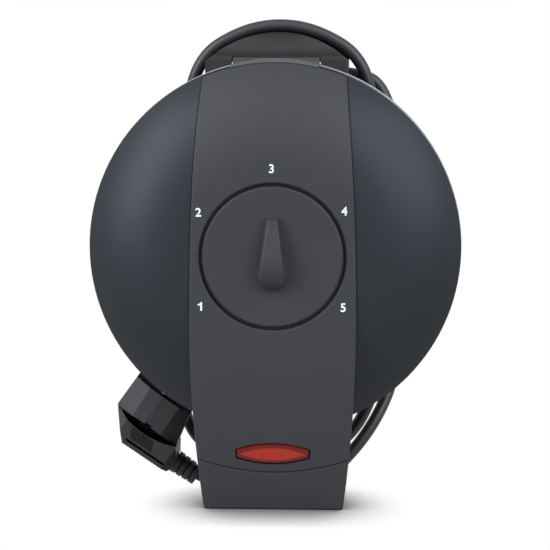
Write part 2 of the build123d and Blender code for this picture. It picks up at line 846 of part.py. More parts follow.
pin_tip = plug_face - plug_pin_length
pin_places = ((0, plug_pin_half_pitch), (0, -plug_pin_half_pitch))
with BuildPart() as base_posts:
    extrude(round_face(lower_flange_back + 6.2, base_post_radius, base_screw_places), amount=-base_depth)
    extrude(round_face(0, screw_hole, base_screw_places), amount=-base_depth - 5, mode=Mode.SUBTRACT)
    extrude(
        round_face(base_depth - 5, screw_head_hole, base_screw_places), amount=-10, mode=Mode.SUBTRACT
    )
    revolve(drum_section(0, 0), axis=lid_axis, mode=Mode.INTERSECT)

with BuildPart() as base_shell:
    revolve(drum_section(0, base_rim_depth + seam), axis=lid_axis)
    revolve(drum_section(shell_wall, 0), axis=lid_axis, mode=Mode.SUBTRACT)
    extrude(
        round_face(0, screw_head_hole, base_screw_places), amount=-base_depth - 5, mode=Mode.SUBTRACT
    )
    add(base_posts.part)
    add(hinge_gap, mode=Mode.SUBTRACT)
    with BuildSketch(plug_out(plug_face_centre, pin_tip)):
        with Locations(*pin_places):
            Circle(plug_pin_radius + 0.5)
    extrude(amount=plug_pin_length, mode=Mode.SUBTRACT)
    with BuildSketch(Plane.XY.offset(hinge_gap_height)):
        with Locations((0, base_depth - base_edge_round)):
            Circle(4.5)
    extrude(amount=14, mode=Mode.SUBTRACT)
finish(base_shell, "base_shell")

# Base rim: the outermost bright ring, with a ledge for the lower plate and a spigot into the shell
with BuildPart() as base_rim:
    extrude(round_face(-base_front, base_rim_radius), amount=-(base_rim_depth + base_front))
    extrude(round_face(0, base_radius - shell_wall - seam), amount=-6)
    extrude(
        round_face(-base_front - 1, rim_inner),
        amount=-(lower_flange_back + seam + 1 + base_front),
        mode=Mode.SUBTRACT,
    )
    extrude(round_face(-base_front - 1, rim_ledge), amount=-base_depth, mode=Mode.SUBTRACT)
    add(hinge_gap, mode=Mode.SUBTRACT)
finish(base_rim, "base_rim")

# Hinge block: a hollow shoulder behind the top, its arched back a saddle for the lead
drum_clear = seam + 0.1
with BuildPart() as block_pocket:
    with BuildSketch(across(-block_half_width + block_wall)):
        with BuildLine():
            Polyline(
                (hinge_gap_depth + block_wall, block_foot),
                (hinge_gap_depth + block_wall, block_brow - block_wall),
                (block_shoulder_depth, arch_top - block_wall),
                (flange_front - block_wall - 2, arch_top - block_wall),
                (flange_front - block_wall - 2, block_foot),
                close=True,
            )
        make_face()
    extrude(amount=2 * (block_half_width - block_wall))
    extrude(
        round_face(0, arch_radius - block_wall, ((0, arch_top - arch_radius),)),
        amount=-block_back,
        mode=Mode.INTERSECT,
    )

with BuildPart() as hinge_block:
    with BuildSketch(across(-block_half_width)):
        with BuildLine():
            Polyline(
                (block_front, block_foot),
                (block_front, ear_top - ear_bevel),
                (block_front + ear_bevel, ear_top),
                (hinge_gap_depth, ear_top),
                (hinge_gap_depth, block_brow - block_brow_round),
                (hinge_gap_depth + block_brow_round, block_brow),
                (block_shoulder_depth, arch_top),
                (flange_front, arch_top),
                (flange_front, arch_top + 4),
                (flange_back, arch_top + 4),
                (block_back - 2, block_brow),
                (block_back, block_nape),
                (block_back, block_foot),
                close=True,
            )
        make_face()
    extrude(amount=2 * block_half_width)
    extrude(
        round_face(0, flange_radius, ((0, arch_top - arch_radius),)),
        amount=-block_back,
        mode=Mode.INTERSECT,
    )
    with BuildSketch(front(-1)):
        with Locations((0, arch_top - arch_radius)):
            Circle(flange_radius * 2)
            Circle(arch_radius, mode=Mode.SUBTRACT)
    extrude(amount=-(flange_front + 1), mode=Mode.SUBTRACT)
    add(block_pocket.part, mode=Mode.SUBTRACT)
    with BuildSketch(lid_plane):
        with BuildLine():
            grown_arc = CenterArc(
                (base_radius - base_edge_round, base_depth - base_edge_round),
                base_edge_round + drum_clear,
                0,
                90,
            )
            Polyline(
                grown_arc @ 1,
                (0, base_depth + drum_clear),
                (0, -5),
                (base_radius + drum_clear, -5),
                grown_arc @ 0,
            )
        make_face()
    revolve(axis=lid_axis, mode=Mode.SUBTRACT)
    extrude(
        round_face(-5, base_rim_radius + drum_clear),
        amount=-(5 + base_rim_depth + drum_clear),
        mode=Mode.SUBTRACT,
    )
    add(hinge_gap, mode=Mode.SUBTRACT)
    for side in (-1, 1):
        with BuildSketch(across(side * hinge_gap_half)):
            with Locations((hinge_depth, hinge_height)):
                Circle(pin_radius + pin_fit)
        extrude(amount=side * (pin_outer_x - hinge_gap_half + 1), mode=Mode.SUBTRACT)
    with BuildSketch(across(gland_inner_x - 9)):
        with Locations((gland_depth, gland_height)):
            Circle(tunnel_radius)
    extrude(amount=block_half_width, mode=Mode.SUBTRACT)
    add(
        box_between(
            (gland_inner_x - 9, flange_front - block_wall - 4, gland_height - 3),
            (gland_inner_x - 3, gland_depth, gland_height + 3),
        ),
        mode=Mode.SUBTRACT,
    )
finish(hinge_block, "hinge_block")

# Hinge pins: one in each ear of the block, through the ends of the barrel
with BuildPart() as hinge_pins:
    for side in (-1, 1):
        with BuildSketch(across(side * pin_inner_x)):
            with Locations((hinge_depth, hinge_height)):
                Circle(pin_radius)
        extrude(amount=side * (pin_outer_x - pin_inner_x))
finish(hinge_pins, "hinge_pins")

# Base handle: the rear half of the grip, on whose end the appliance also stands
handle_crown = lid_centre_height - base_radius + 3
with BuildPart() as base_handle:
    add(
        box_between(
            (-base_handle_half, -base_front, 0), (base_handle_half, base_handle_back, handle_crown)
        )
    )
    fillet(base_handle.edges().filter_by(Axis.Z).sort_by(Axis.Y)[-2:], base_handle_corner)
    add(
        box_between(
            (-base_handle_half + panel_wall, panel_wall - base_front, panel_wall + 1),
            (base_handle_half - panel_wall, base_handle_back - panel_wall, handle_crown + 1),
        ),
        mode=Mode.SUBTRACT,
    )
    extrude(
        round_face(-5, base_rim_radius + seam), amount=-(5 + base_rim_depth + seam), mode=Mode.SUBTRACT
    )
    extrude(round_face(-5, base_radius + seam), amount=-base_depth, mode=Mode.SUBTRACT)
finish(base_handle, "base_handle")

# Rear pedestal: the lead is wound round it, and the feet sit in its back
foot_places = [
    (side * foot_spread, lid_centre_height + rise * foot_spread) for side in (-1, 1) for rise in (-1, 1)
]
with BuildPart() as cord_store:
    extrude(round_face(base_depth + seam, pedestal_radius), amount=-(pedestal_back - base_depth - seam))
    extrude(round_face(pedestal_back - pedestal_lip, pedestal_lip_radius), amount=-pedestal_lip)
    extrude(
        round_face(base_depth, pedestal_radius - pedestal_wall),
        amount=-(pedestal_back - base_depth - pedestal_wall),
        mode=Mode.SUBTRACT,
    )
    extrude(round_face(pedestal_back - 7, foot_radius + 1.5, foot_places), amount=-7)
    extrude(round_face(pedestal_back - 2, foot_radius + seam, foot_places), amount=-7, mode=Mode.SUBTRACT)
    extrude(round_face(pedestal_back - 9, 2.2, foot_places), amount=-12, mode=Mode.SUBTRACT)
finish(cord_store, "cord_store")

# Feet: four soft studs, each with a stem through the pedestal's back
with BuildPart() as feet:
    extrude(
        round_face(pedestal_back - 2 + seam, foot_radius, foot_places),
        amount=-(foot_plane - pedestal_back + 2 - seam),
    )
    fillet(feet.faces().sort_by(Axis.Y)[-4:].edges(), 1.2)
    extrude(round_face(pedestal_back - 6, 2.0, foot_places), amount=-6)
finish(feet, "feet")

# Terminal block on the base shell's back wall
with BuildPart() as terminal_block:
    terminal_height = lid_centre_height + terminal_rise
    add(
        box_between(
            (-18, terminal_front, terminal_height - 6),
            (18, base_depth - shell_wall - seam, terminal_height + 6),
        )
    )
    with BuildSketch(front(terminal_front)):
        with Locations(*[(x, terminal_height) for x in (-12, 0, 12)]):
            Circle(2.2)
    extrude(amount=-6, mode=Mode.SUBTRACT)
finish(terminal_block, "terminal_block")

# Park socket inside the shell, in which the plug's pins rest
with BuildPart() as plug_park_socket:
    with BuildSketch(plug_out(plug_face_centre, pin_tip - 1.6)):
        RectangleRounded(8.4, 28, 3)
    extrude(amount=base_radius - shell_wall - pin_tip + 1.6)
    with BuildSketch(plug_out(plug_face_centre, pin_tip - seam)):
        with Locations(*pin_places):
            Circle(plug_pin_radius + running_fit)
    extrude(amount=plug_pin_length, mode=Mode.SUBTRACT)
    revolve(drum_section(shell_wall + seam, 0), axis=lid_axis, mode=Mode.INTERSECT)
finish(plug_park_socket, "plug_park_socket")

# Screws that hold the lower plate from behind
with BuildPart() as base_screws:
    extrude(round_face(base_depth - 4.9, screw_head_radius, base_screw_places), amount=-1.8)
    extrude(
        round_face(lower_flange_back + 1, screw_radius, base_screw_places),
        amount=-(base_depth - lower_flange_back - 5.8),
    )
finish(base_screws, "base_screws")

# Gland and clamp that hold the lead in the block's tunnel
with BuildPart() as cord_gland:
    with BuildSketch(Plane.XY.offset(gland_height)):
        with BuildLine():
            Polyline(
                (gland_inner_x, gland_depth),
                (gland_inner_x, gland_depth + gland_radius),
                (gland_inner_x + 3, gland_depth + gland_radius),
                (gland_outer_x, gland_depth + gland_tip_radius),
                (gland_outer_x, gland_depth),
                close=True,
            )
        make_face()
    revolve(axis=Axis((0, gland_depth, gland_height), (1, 0, 0)))
    with BuildSketch(across(gland_inner_x - 1)):
        with Locations((gland_depth, gland_height)):
            Circle(cord_diameter / 2 + cord_fit)
    extrude(amount=gland_outer_x, mode=Mode.SUBTRACT)
finish(cord_gland, "cord_gland")

with BuildPart() as cord_clamp:
    with BuildSketch(across(gland_inner_x - 2.8)):
        with Locations((gland_depth, gland_height)):
            Circle(tunnel_radius - seam)
            Circle(cord_diameter / 2 + cord_fit, mode=Mode.SUBTRACT)
    extrude(amount=2.6)
finish(cord_clamp, "cord_clamp")

# Plug: a moulded angled plug with flat facets, a dark waist, a ribbed grip and a slot near its back
plug_draft = tan(radians(plug_draft_angle))


def plug_cut(side, w, depth):
    """The plane of a cut into the plug's front or back facet at a distance, down to a depth."""
    return plug_side.offset(side * (plug_half_depth - (w - plug_face) * plug_draft - depth))


def plug_outline(w, points):
    """Half of the plug's facets as points, mirrored and closed, at a distance from its face."""
    narrower = (w - plug_face) * plug_draft
    with BuildSketch(plug_out(0, w)) as outline:
        with BuildLine():
            Polyline(*[(u, depth - narrower) for u, depth in points])
            mirror(about=Plane.XZ)
            first, last = points[0], points[-1]
            Line((first[0], first[1] - narrower), (first[0], narrower - first[1]))
            Line((last[0], last[1] - narrower), (last[0], narrower - last[1]))
        make_face()
    return outline.sketch


front_facets = ((-29, 7), (-14, 17), (-5, plug_half_depth), (7, plug_half_depth), (25, 10))
rear_facets = ((-29, 7), (-15, plug_half_depth), (19, plug_half_depth), (28, 12))
with BuildPart() as plug_body:
    extrude(
        plug_outline(plug_face, front_facets),
        amount=plug_waist - plug_face,
        taper=plug_draft_angle,
    )
    extrude(
        plug_outline(plug_waist, rear_facets),
        amount=plug_back - plug_waist,
        taper=plug_draft_angle,
    )
    with BuildSketch(plug_side):
        with BuildLine():
            Polyline(
                (-24.4, plug_face),
                (-25, plug_waist - 1.1),
                (-9.6, plug_back),
                (plug_end - 0.9, plug_back),
                (plug_end, plug_back - 2),
                (plug_end, plug_back - 9.7),
                (18.5, plug_back - 16.5),
                (16.5, plug_face + 12),
                (14.8, plug_face),
                close=True,
            )
        make_face()
    extrude(amount=plug_half_depth + 1, both=True, mode=Mode.INTERSECT)
    for side in (-1, 1):
        with BuildSketch(plug_cut(side, plug_waist, plug_waist_depth)):
            with BuildLine():
                ThreePointArc((-21.4, plug_waist - 0.2), (-4, plug_waist - 1.9), (16.5, plug_waist + 0.2))
                ThreePointArc((-21.4, plug_waist - 0.2), (-2, plug_waist + 3.6), (16.5, plug_waist + 0.2))
            make_face()
            with Locations((-2.5, plug_waist - 2)):
                Rectangle(4.4, 2.2)
        extrude(amount=side * 9, mode=Mode.SUBTRACT)
        for k in range(plug_rib_count):
            rib_w = plug_waist + 4.4 + k * plug_rib_pitch
            with BuildSketch(plug_cut(side, rib_w, 0.4)):
                with Locations((-1.7 + 0.3 * k, rib_w)):
                    Rectangle(plug_rib_length, plug_rib_pitch / 2)
            extrude(amount=side * 3, mode=Mode.SUBTRACT)
        with BuildSketch(plug_cut(side, plug_slot, 1.6)):
            with Locations((5, plug_slot)):
                Rectangle(plug_slot_length, plug_slot_width)
        extrude(amount=side * 5, mode=Mode.SUBTRACT)
        with BuildSketch(plug_out(plug_face_centre + side * plug_clip_offset, plug_face - 1)):
            Rectangle(1.8, 6.8)
        extrude(amount=10, mode=Mode.SUBTRACT)
    with BuildSketch(plug_along(boot_start - seam)):
        Circle(boot_root_radius + seam)
    extrude(amount=boot_end, mode=Mode.SUBTRACT)
    with BuildSketch(plug_along(boot_start - 2 * seam - 8)):
        Circle(cord_diameter / 2 + cord_fit)
    extrude(amount=boot_end, mode=Mode.SUBTRACT)
finish(plug_body, "plug_body")

# Plug pins, parked in the socket, with rounded tips
with BuildPart() as plug_pins:
    with BuildSketch(plug_out(plug_face_centre, plug_face - seam / 2)):
        with Locations(*pin_places):
            Circle(plug_pin_radius)
    extrude(amount=-(plug_pin_length - seam))
    fillet(plug_pins.faces().sort_by(Axis((0, 0, 0), (-plug_u[1], 0, plug_u[0])))[-2:].edges(), 1.4)
finish(plug_pins, "plug_pins")

# Earth clips: two strips set in the face of the plug, beside its pins
with BuildPart() as plug_earth_clips:
    for side in (-1, 1):
        with BuildSketch(plug_out(plug_face_centre + side * plug_clip_offset, plug_face - 1.2)):
            Rectangle(0.9, 6)
        extrude(amount=10)
finish(plug_earth_clips, "plug_earth_clips")

# Boot: a root held in the plug, then a taper in four wide rings round the lead
boot_pitch = (boot_end - plug_end - seam) / 4
with BuildPart() as plug_boot:
    with BuildSketch(plug_along(plug_end + seam)):
        Circle(boot_radius)
    with BuildSketch(plug_along(boot_end)):
        Circle(boot_tip_radius)
    loft()
    for k in (1, 2, 3):
        with BuildSketch(plug_along(plug_end + seam + k * boot_pitch - boot_groove / 2)):
            Circle(boot_radius + 2)
            Circle(boot_radius - 0.7 - 0.2 * k, mode=Mode.SUBTRACT)
        extrude(amount=boot_groove, mode=Mode.SUBTRACT)
    with BuildSketch(plug_along(boot_start)):
        Circle(boot_root_radius)
    extrude(amount=plug_end + 2 - boot_start)
    with BuildSketch(plug_along(boot_start - 1)):
        Circle(cord_diameter / 2 + cord_fit)
    extrude(amount=boot_end, mode=Mode.SUBTRACT)
finish(plug_boot, "plug_boot")

# Lead: from the clamp out of the block's right side, down, once round behind the base, over the
# block's arch, down again on the right and along the floor to the plug
arch_middle = arch_top - arch_radius
arch_lead = arch_radius + cord_diameter / 2 + 0.35
arch_step = 12
arch_reach = arch_lead / cos(radians(arch_step))
arch_points = [
    (0.6 + arch_reach * cos(radians(a)), 40, arch_middle + arch_reach * sin(radians(a)))
    for a in (90 + 3 * arch_step, 90 + arch_step, 90 - arch_step, 90 - 3 * arch_step)
]
cord_points = [
    (gland_inner_x - 3.5, gland_depth, gland_height),
    (50.2, gland_depth, gland_height),
    (64.5, 50.6, 242.7),
    (72, 51, 209),
    (74, 52, 175),
    (71, 55, 135),
    (66, 55, 105),
    (61, 50.4, 73),
    (55, 46.8, 47.6),
    (42.4, 46.6, 27.8),
    (22, 46.6, 15),
    (-1, 46.6, 10.8),
    (-24, 46.6, 12.4),
    (-43.2, 46.6, 19.2),
    (-57.6, 46.6, 34.8),
    (-60.4, 46.6, 58),
    (-62.3, 46.6, 90),
    (-62.5, 46.6, 127),
    (-62.5, 46.6, 164),
    (-60.5, 46.6, 200),
    (-57, 45.4, 232),
    (-53.2, 41.2, 246.5),
    (-48.2, 40, 259.6),
    *arch_points,
    (49.8, 40, 259.4),
    (54.4, 41.2, 246.5),
    (57.6, 45.4, 232),
    (60.3, 46.6, 208),
    (61.8, 46.6, 177),
    (63.8, 46.6, 145),
    (67, 46.6, 114),
    (70.2, 46.6, 92),
    (70.6, 45.2, 77),
    (68.6, 38.8, 62.5),
    (63.3, 30.5, 50.5),
    (56, 24.6, 38),
    (46.5, 21.2, 25.6),
    (33, 20, 11.5),
    (15, 20, 4.3),
    (-7, 20, 4.2),
    (-26, 20, 4.5),
    plug_point(48.2, boot_drop),
    plug_point(boot_start - 7.5, boot_drop),
]


def eased_radii(points):
    """A bend radius for each inner point, from its shorter run and its turn."""
    radii = []
    for k in range(1, len(points) - 1):
        before = Vector(*points[k]) - Vector(*points[k - 1])
        after = Vector(*points[k + 1]) - Vector(*points[k])
        turn = radians(before.get_angle(after))
        radii.append(bend_share * min(before.length, after.length) / tan(turn / 2))
    return radii


cord_radii = eased_radii(cord_points)
cord_radii[-1] = last_bend_radius
with BuildPart() as power_cord:
    with BuildLine() as cord_line:
        FilletPolyline(*cord_points, radius=cord_radii)
    with BuildSketch(Plane(origin=cord_line.wire() @ 0, z_dir=cord_line.wire() % 0)):
        Circle(cord_diameter / 2)
    sweep()
finish(power_cord, "power_cord")

# Printed check of the lead: length, bends, volume against its section, and gaps to itself
cord_path = cord_line.wire()
cord_volume = pi * cord_diameter**2 / 4 * cord_path.length
print("lead length", round(cord_path.length, 1), "bend radii", [round(r, 1) for r in cord_radii])
print("lead volume over section times length", round(power_cord.part.volume / cord_volume, 5))
sample_count = 700
samples = [cord_path @ (k / sample_count) for k in range(sample_count + 1)]
apart = int(40 / cord_path.length * sample_count)
least = min(
    ((samples[i] - samples[j]).length - cord_diameter, i, j)
    for i in range(sample_count + 1)
    for j in range(i + apart, sample_count + 1)
)
print("least gap to itself", round(least[0], 2), "near", samples[least[1]], samples[least[2]])
print("lowest point", round(min(s.Z for s in samples) - cord_diameter / 2, 2))
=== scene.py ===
import math

import bpy
from mathutils import Matrix, Vector


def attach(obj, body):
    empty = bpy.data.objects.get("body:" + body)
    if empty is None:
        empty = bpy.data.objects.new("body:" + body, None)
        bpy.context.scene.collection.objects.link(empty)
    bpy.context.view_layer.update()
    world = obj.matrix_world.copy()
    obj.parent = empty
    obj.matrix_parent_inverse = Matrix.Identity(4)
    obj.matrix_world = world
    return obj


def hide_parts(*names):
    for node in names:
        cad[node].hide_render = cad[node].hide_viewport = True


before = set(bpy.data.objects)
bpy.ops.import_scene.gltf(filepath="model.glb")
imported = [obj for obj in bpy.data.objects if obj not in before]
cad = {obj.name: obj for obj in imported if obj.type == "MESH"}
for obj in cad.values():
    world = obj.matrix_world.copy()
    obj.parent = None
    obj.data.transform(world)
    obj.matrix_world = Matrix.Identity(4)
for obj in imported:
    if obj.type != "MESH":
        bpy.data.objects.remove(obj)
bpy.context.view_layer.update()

# Camera: a little to the right of straight ahead and a little above, far off, with a long lens, so that
# the lid stays almost a true circle
camera_turn = math.radians(3.0)
camera_rise = math.radians(6.5)
camera_range = 1.25
camera_aim = Vector((-0.00053, 0.0, 0.13475))
camera_way = Vector(
    (
        math.sin(camera_turn) * math.cos(camera_rise),
        -math.cos(camera_turn) * math.cos(camera_rise),
        math.sin(camera_rise),
    )
)
bpy.ops.object.camera_add(location=camera_aim + camera_way * camera_range)
camera = bpy.context.object
camera.name = "camera"
camera.rotation_euler = camera_way.to_track_quat("Z", "Y").to_euler()
camera.data.lens = 137.8
camera.data.sensor_width = 36.0
camera.data.clip_start = 0.05
camera.data.clip_end = 20.0
camera.data.dof.use_dof = False
bpy.context.scene.camera = camera
bpy.context.scene.view_settings.view_transform = "Standard"


# Lead: the mains cable in its round sheath of soft PVC. It leaves the block's right side, runs down and
# round behind, up on the left, over the block's arch, down again on the right and along the floor to the
# parked plug. The gland holds it in the block, and its points are the model's own, in metres.
def linear(code):
    """The linear colour of an sRGB hex code, with alpha 1."""
    channels = [int(code[k : k + 2], 16) / 255 for k in (1, 3, 5)]
    straight = [c / 12.92 if c <= 0.04045 else ((c + 0.055) / 1.055) ** 2.4 for c in channels]
    return (*straight, 1.0)


def add_node(tree, kind, inputs=None, **values):
    """A shader node. Inputs holds what goes into its sockets, as a link or a value, and values its
    settings and named sockets, where an underscore stands for a space."""
    node = tree.nodes.new(kind)
    for name, value in values.items():
        socket = node.inputs.get(name.replace("_", " "))
        if socket is None:
            setattr(node, name, value)
        else:
            socket.default_value = value
    for name, source in (inputs or {}).items():
        if isinstance(source, bpy.types.NodeSocket):
            tree.links.new(source, node.inputs[name])
        else:
            node.inputs[name].default_value = source
    return node


def empty_material(name):
    """A material with an empty tree, and its tree."""
    made = bpy.data.materials.new(name)
    made.use_nodes = True
    made.node_tree.nodes.clear()
    return made, made.node_tree


def plastic(
    name,
    code,
    roughness,
    grains_per_mm=2.5,
    grain_depth=0.00002,
    mottle=0.06,
    edge=0.0004,
    sheen=0.5,
    tint="#ffffff",
    painted_shade_reach=0.0,
):
    """Moulded plastic: one colour with a faint mottle in patches 29 mm wide, the fine grain of the mould
    and softly rounded edges. With a reach for painted shade, ambient occlusion darkens the colour and dims
    the sheen in its grooves."""
    made, tree = empty_material(name)
    place = add_node(tree, "ShaderNodeTexCoord").outputs["Object"]
    cloud = add_node(tree, "ShaderNodeTexNoise", {"Vector": place}, Scale=35.0, Detail=3.0)
    shade = add_node(
        tree,
        "ShaderNodeMapRange",
        {"Value": cloud.outputs["Fac"]},
        To_Min=1.0 - mottle,
        To_Max=1.0 + mottle,
    ).outputs["Result"]
    shine = sheen
    # Painted shade: ambient occlusion darkens the colour and dims the sheen in grooves and recesses
    if painted_shade_reach:
        painted_shade_ao = add_node(tree, "ShaderNodeAmbientOcclusion", samples=8, only_local=True, Distance=painted_shade_reach)
        painted_shade_openness = add_node(
            tree,
            "ShaderNodeMapRange",
            {"Value": painted_shade_ao.outputs["AO"]},
            From_Min=0.45,
            From_Max=0.9,
        ).outputs["Result"]
        dimmed = add_node(tree, "ShaderNodeMath", {0: shade, 1: painted_shade_openness}, operation="MULTIPLY")
        shade = dimmed.outputs["Value"]
        dulled = add_node(tree, "ShaderNodeMath", {0: painted_shade_openness, 1: sheen}, operation="MULTIPLY")
        shine = dulled.outputs["Value"]
    colour = add_node(
        tree,
        "ShaderNodeVectorMath",
        {0: linear(code)[:3], "Scale": shade},
        operation="SCALE",
    )
    grain = add_node(
        tree,
        "ShaderNodeTexNoise",
        {"Vector": place},
        Scale=1000 * grains_per_mm,
        Detail=2.0,
    )
    rounded = add_node(tree, "ShaderNodeBevel", samples=4, Radius=edge)
    bump = add_node(
        tree,
        "ShaderNodeBump",
        {"Height": grain.outputs["Fac"], "Normal": rounded.outputs["Normal"]},
        Strength=1.0,
        Distance=grain_depth,
    )
    gloss = add_node(
        tree,
        "ShaderNodeMapRange",
        {"Value": grain.outputs["Fac"]},
        To_Min=roughness - 0.03,
        To_Max=roughness + 0.03,
    )
    skin = add_node(
        tree,
        "ShaderNodeBsdfPrincipled",
        {
            "Base Color": colour.outputs["Vector"],
            "Roughness": gloss.outputs["Result"],
            "Normal": bump.outputs["Normal"],
            "Specular IOR Level": shine,
        },
        Specular_Tint=linear(tint),
    )
    add_node(tree, "ShaderNodeOutputMaterial", {"Surface": skin.outputs["BSDF"]})
    return made


lid_axis_height = 0.1525
plug_middle = 0.02
plug_lean = math.radians(34.1)
plug_side_x = math.cos(plug_lean)
plug_side_z = -math.sin(plug_lean)


def plug_point(along, out):
    """A point of the plug, from its run along the side with the lead and its distance out from the lid's
    axis."""
    return (
        along * plug_side_x + out * plug_side_z,
        plug_middle,
        lid_axis_height + along * plug_side_z - out * plug_side_x,
    )


arch_x = 0.0006
arch_y = 0.04
arch_z = 0.2181
arch_radius = 0.06405
arch_step = 24
arch_reach = arch_radius / math.cos(math.radians(arch_step / 2))
arch_points = [
    (
        arch_x + arch_reach * math.cos(math.radians(angle)),
        arch_y,
        arch_z + arch_reach * math.sin(math.radians(angle)),
    )
    for angle in range(126, 53, -arch_step)
]
lead_in_boot = 0.1465
lead_diameter = 0.0074
lead_points = [
    (0.0155, 0.0502, 0.2543),
    (0.0502, 0.0502, 0.2543),
    (0.0645, 0.0506, 0.2427),
    (0.072, 0.051, 0.209),
    (0.074, 0.052, 0.175),
    (0.071, 0.055, 0.135),
    (0.066, 0.055, 0.105),
    (0.061, 0.0504, 0.073),
    (0.055, 0.0468, 0.0476),
    (0.0424, 0.0466, 0.0278),
    (0.022, 0.0466, 0.015),
    (-0.001, 0.0466, 0.0108),
    (-0.024, 0.0466, 0.0124),
    (-0.0432, 0.0466, 0.0192),
    (-0.0576, 0.0466, 0.0348),
    (-0.0604, 0.0466, 0.058),
    (-0.0623, 0.0466, 0.09),
    (-0.0625, 0.0466, 0.127),
    (-0.0625, 0.0466, 0.164),
    (-0.0605, 0.0466, 0.2),
    (-0.057, 0.0454, 0.232),
    (-0.0532, 0.0412, 0.2465),
    (-0.0482, 0.04, 0.2596),
    *arch_points,
    (0.0498, 0.04, 0.2594),
    (0.0544, 0.0412, 0.2465),
    (0.0576, 0.0454, 0.232),
    (0.0603, 0.0466, 0.208),
    (0.0618, 0.0466, 0.177),
    (0.0638, 0.0466, 0.145),
    (0.067, 0.0466, 0.114),
    (0.0702, 0.0466, 0.092),
    (0.0706, 0.0452, 0.077),
    (0.0686, 0.0388, 0.0625),
    (0.0633, 0.0305, 0.0505),
    (0.056, 0.0246, 0.038),
    (0.0465, 0.0212, 0.0256),
    (0.033, 0.02, 0.0115),
    (0.015, 0.02, 0.0043),
    (-0.007, 0.02, 0.0042),
    (-0.026, 0.02, 0.0045),
    plug_point(0.0482, lead_in_boot),
    plug_point(0.0087, lead_in_boot),
]
lead_line = bpy.data.curves.new("power_lead_line", "CURVE")
lead_line.dimensions = "3D"
spline = lead_line.splines.new("NURBS")
spline.points.add(len(lead_points) - 1)
for point, place in zip(spline.points, lead_points):
    point.co = (*place, 1.0)
spline.order_u = 3
spline.use_endpoint_u = True
spline.resolution_u = 10
lead_line.bevel_depth = lead_diameter / 2
lead_line.bevel_resolution = 6
lead_line.use_fill_caps = True
lead = bpy.data.objects.new("power_lead", lead_line)
bpy.context.collection.objects.link(lead)
lead_sheath = plastic(
    "soft PVC, extruded, dark grey",
    "#212125",
    0.42,
    grains_per_mm=1.8,
    grain_depth=0.00001,
    edge=0.0,
    sheen=0.4,
)
lead.data.materials.append(lead_sheath)
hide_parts("power_cord")
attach(lead, "base")


# Stage: a wide paper floor and a white surround, both seen as white but for a painted shadow round the
# object's foot, drawn from ambient occlusion. They send only a soft light back, and three soft lamps light
# the object.
def background_rays(tree):
    """One for camera, glossy and transmission rays, which see the white background, and zero for others."""
    path = add_node(tree, "ShaderNodeLightPath").outputs
    mirrored = add_node(
        tree,
        "ShaderNodeMath",
        {0: path["Is Camera Ray"], 1: path["Is Glossy Ray"]},
        operation="MAXIMUM",
    )
    seen = add_node(
        tree,
        "ShaderNodeMath",
        {0: mirrored.outputs["Value"], 1: path["Is Transmission Ray"]},
        operation="MAXIMUM",
    )
    return seen.outputs["Value"]


floor_middle = 2.0
foot_middle = -0.03
shadow_full_radius = 0.035
shadow_end_radius = 0.088
shadow_reach = 0.05
shadow_depth = 2.2
bpy.ops.mesh.primitive_plane_add(size=8.0, location=(0, floor_middle, 0))
floor = bpy.context.object
floor.name = "floor"
floor_paper, tree = empty_material("pale studio paper")
# Painted shadow: near the foot, the white glow that the camera sees is dimmed by ambient occlusion
painted_shade_ao = add_node(tree, "ShaderNodeAmbientOcclusion", samples=12, Distance=shadow_reach)
shadow = add_node(tree, "ShaderNodeMath", {0: painted_shade_ao.outputs["AO"], 1: shadow_depth}, operation="POWER")
paper = add_node(tree, "ShaderNodeBsdfDiffuse", Color=linear("#8c8c8c"))
ground = add_node(tree, "ShaderNodeTexCoord").outputs["Object"]
from_foot = add_node(
    tree,
    "ShaderNodeVectorMath",
    {0: ground, 1: (0.0, foot_middle - floor_middle, 0.0)},
    operation="DISTANCE",
)
painted_shadow_strength = add_node(
    tree,
    "ShaderNodeMapRange",
    {"Value": from_foot.outputs["Value"], "To Min": shadow.outputs["Value"]},
    interpolation_type="SMOOTHSTEP",
    From_Min=shadow_full_radius,
    From_Max=shadow_end_radius,
    To_Max=1.0,
)
glow = add_node(tree, "ShaderNodeEmission", {"Strength": painted_shadow_strength.outputs["Result"]})
floor_skin = add_node(
    tree,
    "ShaderNodeMixShader",
    {0: background_rays(tree), 1: paper.outputs["BSDF"], 2: glow.outputs["Emission"]},
)
add_node(tree, "ShaderNodeOutputMaterial", {"Surface": floor_skin.outputs["Shader"]})
floor.data.materials.append(floor_paper)

world = bpy.data.worlds.new("studio")
bpy.context.scene.world = world
world.use_nodes = True
tree = world.node_tree
tree.nodes.clear()
soft = add_node(tree, "ShaderNodeBackground", Color=(0.90, 0.95, 1.0, 1.0), Strength=0.4)
white = add_node(tree, "ShaderNodeBackground", Color=(1, 1, 1, 1), Strength=1.0)
choice = add_node(
    tree,
    "ShaderNodeMixShader",
    {0: background_rays(tree), 1: soft.outputs["Background"], 2: white.outputs["Background"]},
)
add_node(tree, "ShaderNodeOutputWorld", {"Surface": choice.outputs["Shader"]})

lamp_aim = Vector((0, 0, 0.14))
lamp_colour = "#f4f8ff"


def lamp(name, place, width, height, watts):
    """A rectangular soft lamp at a place, turned to the object's middle."""
    light = bpy.data.lights.new(name, "AREA")
    light.shape = "RECTANGLE"
    light.size = width
    light.size_y = height
    light.energy = watts
    light.color = linear(lamp_colour)[:3]
    holder = bpy.data.objects.new(name, light)
    holder.location = place
    holder.rotation_euler = (Vector(place) - lamp_aim).to_track_quat("Z", "Y").to_euler()
    bpy.context.collection.objects.link(holder)


lamp("overhead softbox", (-0.1, -1.0, 1.5), 1.6, 0.9, 8)
lamp("left softbox", (-1.25, -0.95, 0.85), 0.8, 1.5, 34)
lamp("right softbox", (1.15, -1.0, 0.95), 1.3, 1.4, 30)


